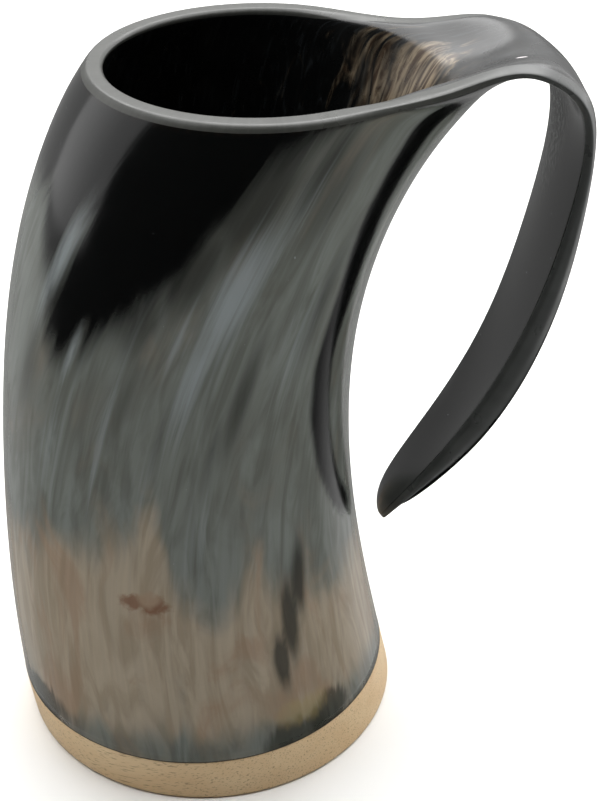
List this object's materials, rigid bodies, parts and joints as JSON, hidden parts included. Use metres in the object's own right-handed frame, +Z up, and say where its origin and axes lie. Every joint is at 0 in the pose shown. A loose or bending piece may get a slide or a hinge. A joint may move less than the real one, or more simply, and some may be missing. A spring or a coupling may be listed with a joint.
{
  "type": "horn tankard",
  "caption": "Tall drinking tankard cut from one cattle horn, its upper strip bent over into an open handle, on a flush turned wooden base.",
  "frame": {"origin": "middle of the wooden base's underside, on the table", "axes": "+Z up through the cup, +X towards the handle, +Y to the left of the handle when seen from the cup"},
  "size_m": [0.1303, 0.09, 0.1631],
  "materials": {
    "polished_horn": null,
    "pale_wood": "turned pale hardwood, thinly oiled",
    "dark_glue": "set dark glue",
    "sealing_resin": "clear amber food-safe resin"
  },
  "bodies": {
    "root": {"horn_body": "polished_horn", "wooden_base": "pale_wood", "base_glue": "dark_glue", "seal_bead": "sealing_resin"}
  },
  "joints": []
}
